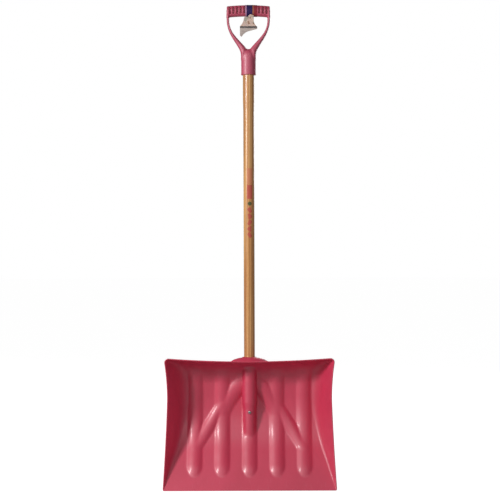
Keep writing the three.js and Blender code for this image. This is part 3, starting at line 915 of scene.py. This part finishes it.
def make_shaft():
    swell = [lerp(*SWELL_Z, share) for share in np.linspace(0, 1, SWELL_RINGS)]
    profile = [
        (0, SHAFT_FOOT),
        (SHAFT_FOOT_R - SHAFT_CHAMFER, SHAFT_FOOT),
        (SHAFT_FOOT_R, SHAFT_FOOT + SHAFT_CHAMFER),
        (SHAFT_R, SPINE_Z[1] + 2),
        *[(lerp(SHAFT_R, SHAFT_TOP_R, smoothstep(z, *SWELL_Z)), z) for z in swell],
        (SHAFT_TOP_R, SHAFT_TOP - SHAFT_CHAMFER),
        (SHAFT_TOP_R - SHAFT_CHAMFER, SHAFT_TOP),
        (0, SHAFT_TOP),
    ]
    shaft = moved(turned("ash_shaft", profile), y=SHAFT_Y)
    cut(shaft, screw_hole(-SPINE_R, BLADE_SCREW_Z), screw_hole(GRIP_SOCKET_R, GRIP_SCREW_Z))
    finished(shaft, "ash_shaft", varnished_ash(), "shaft_wood", SHOVEL, "shaft")


# ---------- print on the shaft ----------

PRINT_R = (14.63, 14.78)  # inner and outer radius of the ink
PRINT_X = 2  # the marks' middle
PRINT_COLUMNS = 13
BLOCK_Z = (813, 856)
BAR_MARK_Z = (773, 811)
BLOCK_HALF = 7.4  # half width of the block and the bar, and the radius of their corners
BLOCK_CORNER = 1.2
DOT_Z = (755, 766)
DOT_R = 5.5
CORNER_START = 1  # degrees from a corner's end, where a mark's edge would have no width
CORNER_ROWS = 10
WAVE_COUNT = 5
WAVE_FOOT = 668
WAVE_PITCH = 16.8
WAVE_TALL = 15.6
WAVE_ROWS = 25
WAVE_SWAY = 1.6  # how far a wave's middle swings to each side
WAVE_PHASE = 1.7  # how much further along its swing each next wave starts
WAVE_HALF = (1, 5.6)  # half width at a wave's ends and at its middle
WAVE_POWER = 0.6  # less makes its ends blunter


def printed_mark(name, heights, left, right, material):
    """A thin closed shell on the front of the shaft, between left and right edges in X."""
    share = np.linspace(0, 1, PRINT_COLUMNS)
    angle = lerp(left[:, None], right[:, None], share) / SHAFT_R
    front, back = (
        points_at(r * np.sin(angle), SHAFT_Y - r * np.cos(angle), heights[:, None])
        for r in reversed(PRINT_R)
    )
    mark = shell_between(name, front, back)
    finished(mark, name, material, "printed_film", SHOVEL, "shaft_film")


def round_mark(name, foot, top, half, corner, material):
    """A bar with rounded corners, or a disc if its corners take up the whole of it."""
    turn = np.linspace(math.radians(CORNER_START), math.pi / 2, CORNER_ROWS)
    ends = corner * (1 - np.cos(turn))
    heights = np.concatenate([foot + ends, top - ends[::-1]])
    inset = corner * (1 - np.sin(turn))
    widths = half - np.concatenate([inset, inset[::-1]])
    printed_mark(name, heights, PRINT_X - widths, PRINT_X + widths, material)


def make_print():
    pale = screen_ink("pale_ink", rgb(214, 138, 98), rgb(202, 122, 84))
    salmon = screen_ink("salmon_ink", rgb(204, 96, 78), rgb(184, 78, 64))
    green = screen_ink("green_ink", rgb(104, 102, 60), rgb(80, 82, 46))
    round_mark("print_block", *BLOCK_Z, BLOCK_HALF, BLOCK_CORNER, pale)
    round_mark("print_bar", *BAR_MARK_Z, BLOCK_HALF, BLOCK_CORNER, salmon)
    round_mark("print_dot", *DOT_Z, DOT_R, DOT_R, green)
    share = np.linspace(0, 1, WAVE_ROWS)
    half = lerp(*WAVE_HALF, np.sin(math.pi * share) ** WAVE_POWER)
    for i in range(WAVE_COUNT):
        heights = WAVE_FOOT + WAVE_PITCH * i + WAVE_TALL * share
        middle = PRINT_X + WAVE_SWAY * np.sin(2 * math.pi * share + WAVE_PHASE * i)
        printed_mark(f"print_wave_{i + 1}", heights, middle - half, middle + half, salmon)


# ---------- grip ----------

GRIP_FOOT = 1108
GRIP_SOCKET_R = 19.7
GRIP_LIP = 3
GRIP_LIP_R = 20.3
BORE_FLARE = 1  # chamfer of the socket's mouth
DOME_Z = (1153, 1177.8)  # the grip's socket closes between these heights
YOKE_Z = 1178.4
BAR_R = 15.2
BAR_Z = 1281.5
BAR_HALF = 53
BAR_SAG = 2.5
BAR_END = 58.2
HAND_GAP_HALF = 51.6  # half width of the hand opening at its top
ARM_HALF_DEPTH = 12.5
ARM_POWER = 2.5  # 2 makes the arms' sections elliptical, more squares them off
YOKE_SWELL = 4
YOKE_SWELL_RUN = 0.35
ARM_START_RUN = 0.12  # share of an arm's length over which it comes out of the socket
ARM_MEETING = 2.5  # rounding in X where the two arms meet
ARM_INNER = [
    [(-3, YOKE_Z), (5, YOKE_Z), (9.5, YOKE_Z + 6)],
    [(9.5, YOKE_Z + 6), (31, 1208)],
    [(31, 1208), (41.5, 1220.5), (51, 1232.5), (HAND_GAP_HALF, 1256)],
    [(HAND_GAP_HALF, 1256), (HAND_GAP_HALF, BAR_Z)],
]
ARM_OUTER = [
    [(17.7, 1138), (19.4, 1155)],
    [(19.4, 1155), (17.2, 1187), (60.5, 1210), (58.6, 1262)],
    [(58.6, 1262), (57.8, BAR_Z + 1)],
]
ARM_SECTIONS = 400
ARM_COARSE = 10  # each of these sections is tried first, and the place is then made exact
ARM_PASSES = 6
LEAST_RATE = 0.1  # these two keep divisions away from 0
LEAST_SIZE = 0.05
SOCKET_BLEND = 8  # reach of the rounding between the grip's parts
BAR_BLEND = 4
BAR_END_ROUND = 3
POCKET_PITCH = 9.9
POCKET_COUNT = 11
POCKET_HALF = (2.3, 9.75)
POCKET_DEPTH = 9
POCKET_RISE = 1.6
POCKET_ROUND = 1.2
POCKET_RIM = 1.8
GRIP_STEP = 0.8  # spacing of the grip's mesh
GRIP_MARGIN = (4, 2, 2)  # how far the space that is searched for its surface goes beyond it


def bar_axis(x):
    return BAR_Z - BAR_SAG * (x / BAR_HALF) ** 2


def arm_sections(count):
    """The middle, the half width and the way ahead of an arm's sections, each in X and Z."""
    inner, outer = line_of(ARM_INNER, count), line_of(ARM_OUTER, count)
    half = (outer - inner) / 2
    ahead = unit(np.column_stack([-half[:, 1], half[:, 0]]))
    return np.column_stack([inner + half, half, ahead])


ARM = arm_sections(ARM_SECTIONS)


def from_section(number, side, z):
    """How far points are beyond an arm's section and across it, and the section's half width.
    A number between two sections stands for a section between them."""
    number = np.clip(number, 0, len(ARM) - 1)
    values = [np.interp(number, np.arange(len(ARM)), column) for column in ARM.T]
    x0, z0, half_x, half_z, go_x, go_z = values
    beyond = (side - x0) * go_x + (z - z0) * go_z
    width = np.hypot(half_x, half_z)
    across = ((side - x0) * half_x + (z - z0) * half_z) / width
    return beyond, across, width


def arm_field(side, y, z):
    """Distance to an arm, found at the section that each point lies on."""
    last = len(ARM) - 1
    coarse = ARM[::ARM_COARSE]
    gaps = np.hypot(side[:, None] - coarse[:, 0], z[:, None] - coarse[:, 1])
    number = np.argmin(gaps, axis=1) * float(ARM_COARSE)
    for _ in range(ARM_PASSES):
        after, before, here = (from_section(number + k, side, z)[0] for k in (0.5, -0.5, 0))
        number = np.clip(number - here / np.minimum(after - before, -LEAST_RATE), 0, last)
    beyond, across, width = from_section(number, side, z)
    run = number / last
    deep = ARM_HALF_DEPTH + YOKE_SWELL * (1 - smoothstep(run, 0, YOKE_SWELL_RUN))
    powers = np.abs(across / width) ** ARM_POWER + np.abs(y / deep) ** ARM_POWER
    size = powers ** (1 / ARM_POWER)
    depth = np.hypot(across, y) * (1 - 1 / np.maximum(size, LEAST_SIZE))
    start = SOCKET_BLEND * (1 - smoothstep(run, 0, ARM_START_RUN))
    return depth + np.abs(beyond) + start


def socket_field(radius, z):
    """Distance to the socket with its domed top."""
    lip_end = GRIP_FOOT + GRIP_LIP
    full = GRIP_SOCKET_R + (GRIP_LIP_R - GRIP_SOCKET_R) * (1 - smoothstep(z, lip_end, lip_end + 1))
    tall = DOME_Z[1] - DOME_Z[0]
    height = np.maximum(z - DOME_Z[0], 0) / tall
    slope = np.hypot(2 * radius / full**2, 3 * height**2 / tall)
    return ((radius / full) ** 2 + height**3 - 1) / np.maximum(slope, 1 / full)


def pocket_field(x, y, z):
    """Distance to the nearest pocket of the bar, on both of its faces."""
    number = np.clip(np.round(x / POCKET_PITCH), -(POCKET_COUNT // 2), POCKET_COUNT // 2)
    middle = number * POCKET_PITCH
    wide = np.abs(x - middle) - POCKET_HALF[0]
    high = np.abs(z - bar_axis(middle) - POCKET_RISE) - POCKET_HALF[1]
    outline = soft_max(wide, high, 2 * POCKET_ROUND)
    return soft_max(outline, BAR_R - POCKET_DEPTH - np.abs(y), POCKET_ROUND)


def grip_field(points):
    """Below 0 inside the grip, before its holes are cut."""
    x, y, z = points[:, 0], points[:, 1] - SHAFT_Y, points[:, 2]
    socket = soft_max(socket_field(np.hypot(x, y), z), GRIP_FOOT - z, 1)
    bar = soft_max(np.hypot(y, z - bar_axis(x)) - BAR_R, np.abs(x) - BAR_END, BAR_END_ROUND)
    bar = soft_max(bar, -pocket_field(x, y, z), POCKET_RIM)
    arms = arm_field(np.hypot(x, ARM_MEETING), y, z)
    return soft_min(soft_min(bar, arms, BAR_BLEND), socket, SOCKET_BLEND)


def make_grip():
    low = np.array([-BAR_END, SHAFT_Y - GRIP_LIP_R, GRIP_FOOT]) - GRIP_MARGIN
    high = np.array([BAR_END, SHAFT_Y + GRIP_LIP_R, BAR_Z + BAR_R]) + GRIP_MARGIN
    grip = body_from("grip", grip_field, low, high, GRIP_STEP * FINE)
    radius = SHAFT_TOP_R + GAP
    bore = turned(
        "bore",
        [
            (0, GRIP_FOOT - 3 * BORE_FLARE),
            (radius + 2 * BORE_FLARE, GRIP_FOOT - 3 * BORE_FLARE),
            (radius + BORE_FLARE, GRIP_FOOT),
            (radius, GRIP_FOOT + BORE_FLARE),
            (radius, SHAFT_TOP + GAP),
            (0, SHAFT_TOP + GAP),
        ],
    )
    cut(grip, moved(bore, y=SHAFT_Y), screw_hole(GRIP_SOCKET_R, GRIP_SCREW_Z))
    plastic = moulded_plastic("grip_plastic", rgb(182, 56, 86), rgb(192, 66, 96), 0.07)
    finished(grip, "grip", plastic, "grip_plastic", SHOVEL, "d_grip", sharp=75)


# ---------- paper band and tag ----------

STRAP_X = (-8.4, 23.2)
STRAP_INNER = 15.46
STRAP_SHEET = 0.4
STRAP_LAP = 0.22  # thickness added at the back, where the band's ends are stuck together
LAP_TURN = 8  # degrees from the back to the lap's middle
LAP_EDGE = (0.93, 0.96)  # cosines of the angles from there at which it ends and is full
STRAP_SIDES = 128
STRAP_STEP = 0.8
STRAP_WAVES = [(0.05, 3, 0.3, 0), (0.04, 7, -0.5, 90)]  # height, number, lean, start
TAG_SHEET = 0.7
TAG_PLANE = SHAFT_Y - 12.95
TAG_TOP = 1270.7
TAG_FOOT = 1210
NECK_X = 7.2
NECK_R = 7.2
TAG_LEFT = [
    [(-17.5, TAG_FOOT), (-22, TAG_FOOT), (-22.8, 1215)],
    [(-22.8, 1215), (-22.8, 1238)],
    [(-22.8, 1238), (-13, 1248), (-11.8, 1260.5)],
    [(-11.8, 1260.5), (-11.6, 1263.4), (-9, 1263.4)],
    [(-9, 1263.4), (NECK_X - NECK_R, TAG_TOP - NECK_R)],
]
TAG_RIGHT = [
    [(-17.5, TAG_FOOT), (-11, 1222), (2, 1225)],
    [(2, 1225), (24, 1231)],
    [(24, 1231), (24, 1236.5)],
    [(24, 1236.5), (16, 1243), (14.6, 1252)],
    [(14.6, 1252), (NECK_X + NECK_R, TAG_TOP - NECK_R)],
]
TAG_ROWS = [
    (TAG_FOOT + 0.05, TAG_FOOT + 6, 0.4),
    (TAG_FOOT + 6, TAG_TOP - 8.2, 0.8),
    (TAG_TOP - 8.2, TAG_TOP - 0.01, 0.3),
]  # from, to and step
TAG_COLUMNS = 33
TAG_EDGE_POINTS = 160
NECK_POINTS = 12
NECK_TURN = 89  # degrees of the neck's rounding: at 90 its two edges would meet
LEAST_RISE = 1e-6  # keeps the heights along an edge ascending
TAG_BEND = 0.5  # how far the card's sides curl
TAG_BEND_RUN = (4, 40)  # distances below the top between which the curl sets in
TAG_BEND_WAVE = (0.11, 0.4)  # radians of the curl's wave in a millimetre, and at X = 0


def make_strap():
    x = graded((*STRAP_X, STRAP_STEP))[:, None]
    turn = around(STRAP_SIDES)
    waver = 0
    for height, number, lean, start in STRAP_WAVES:
        waver = waver + height * np.sin(number * turn + lean * x + math.radians(start))
    inner = STRAP_INNER + waver
    lap = STRAP_LAP * smoothstep(np.cos(turn - math.radians(LAP_TURN)), *LAP_EDGE)
    points = []
    for radius in (inner, inner + STRAP_SHEET + lap):
        y = SHAFT_Y + radius * np.cos(turn)
        z = bar_axis(x) + radius * np.sin(turn)
        points.append(points_at(x, y, z).reshape(-1, 3))
    count = len(points[0])
    inside = grid_faces(len(x), STRAP_SIDES, flip=True, wrap=True)
    outside = grid_faces(len(x), STRAP_SIDES, count, wrap=True)
    ring = np.arange(STRAP_SIDES)
    left = quads_over(closed(np.stack([ring, count + ring])))
    right = left[:, [1, 0, 3, 2]] + count - STRAP_SIDES
    strap = object_of("strap", np.vstack(points), np.vstack([inside, outside, left, right]))
    low, high = (edge * MM for edge in STRAP_X)
    finished(strap, "tag_band", printed_strap(low, high), "strap_paper", SHOVEL, "tag_strap")


def make_tag():
    turn = np.linspace(0, math.radians(NECK_TURN), NECK_POINTS)
    reach, lift = NECK_R * np.cos(turn), TAG_TOP - NECK_R + NECK_R * np.sin(turn)
    edges = []
    for side, line in ((-1, TAG_LEFT), (1, TAG_RIGHT)):
        neck = np.column_stack([NECK_X + side * reach, lift])
        points = np.vstack([line_of(line, TAG_EDGE_POINTS), neck])
        points[:, 1] = np.maximum.accumulate(points[:, 1] + np.arange(len(points)) * LEAST_RISE)
        edges.append(points)
    z = graded(*TAG_ROWS)
    left, right = (np.interp(z, points[:, 1], points[:, 0])[:, None] for points in edges)
    x = lerp(left, right, np.linspace(0, 1, TAG_COLUMNS))
    below = smoothstep(TAG_TOP - z, *TAG_BEND_RUN)[:, None]
    rate, start = TAG_BEND_WAVE
    y = TAG_PLANE + TAG_BEND * below * np.sin(rate * x + start)
    grid = points_at(x, y, z[:, None])
    half = np.array([0, TAG_SHEET / 2, 0])
    card = shell_between("card", grid - half, grid + half)
    paper = printed_card(TAG_TOP * MM, TAG_FOOT * MM)
    finished(card, "tag_card", paper, "tag_card", TAG, "hang_tag")


# ---------- stage ----------

FOCAL = 106.6
CAMERA = (0.0024, SHAFT_Y * MM - 4.0, 0.6355)
ROLL = 0.19  # degrees that the shovel leans in the picture
FLOOR_SIDES = 96
FLOOR_RADIUS = 30_000
FLOOR_Z = -0.4
FLOOR_GLOW = (0.15, 0.94)  # light that reaches the object, and light that the camera sees
WORLD_GLOW = (0.16, 1.0)


def aimed(location, target):
    return (Vector(target) - Vector(location)).to_track_quat("-Z", "Y").to_euler()


def softbox(name, location, target, size, watts):
    data = bpy.data.lights.new(name, "AREA")
    data.shape = "RECTANGLE"
    data.size, data.size_y = size
    data.energy = watts
    lamp = added(data)
    lamp.location = location
    lamp.rotation_euler = aimed(location, target)


def make_camera():
    data = bpy.data.cameras.new("camera")
    data.lens = FOCAL
    data.sensor_width = 36
    camera = added(data)
    camera.location = CAMERA
    camera.rotation_euler = (math.pi / 2, math.radians(ROLL), 0)
    bpy.context.scene.camera = camera


def make_floor():
    turn = around(FLOOR_SIDES)
    points = points_at(FLOOR_RADIUS * np.cos(turn), FLOOR_RADIUS * np.sin(turn), FLOOR_Z)
    floor = object_of("floor", points, [range(FLOOR_SIDES)])
    s = Shader("floor_white")
    seen = s.node("ShaderNodeLightPath").outputs["Is Camera Ray"]
    s.set(Base_Color=(0.3, 0.3, 0.3, 1), Roughness=0.9, Specular_IOR_Level=0.1)
    s.set(Emission_Color=(1, 1, 1, 1), Emission_Strength=s.span(seen, 0, 1, *FLOOR_GLOW))
    floor.data.materials.append(s.material)


def make_world():
    """Plain white behind the object, and a dimmer even light on it."""
    world = bpy.data.worlds.new("studio")
    bpy.context.scene.world = world
    world.use_nodes = True
    nodes, links = world.node_tree.nodes, world.node_tree.links
    background = nodes["Background"]
    background.inputs["Color"].default_value = (1, 1, 1, 1)
    seen = nodes.new("ShaderNodeLightPath").outputs["Is Camera Ray"]
    strength = nodes.new("ShaderNodeMapRange")
    strength.inputs["To Min"].default_value = WORLD_GLOW[0]
    strength.inputs["To Max"].default_value = WORLD_GLOW[1]
    links.new(seen, strength.inputs["Value"])
    links.new(strength.outputs[0], background.inputs["Strength"])


def make_stage():
    make_camera()
    make_floor()
    make_world()
    softbox("key", (-1.75, -1.33, 1.35), (0, 0.05, 0.45), (0.33, 0.45), 41)
    softbox("front", (0.2, -3.2, 2.2), (0, 0.05, 0.5), (3.0, 2.0), 20)
    softbox("back", (1.2, 3.2, 1.8), (0, 0.05, 0.5), (2.4, 1.8), 45)
    bpy.context.scene.view_settings.view_transform = "Standard"


make_stage()
make_scoop()
make_shaft()
make_print()
make_grip()
make_screw("scoop_screw", -SPINE_R, BLADE_SCREW_Z, "blade_screw")
make_screw("handle_screw", GRIP_SOCKET_R, GRIP_SCREW_Z, "grip_screw")
make_strap()
make_tag()
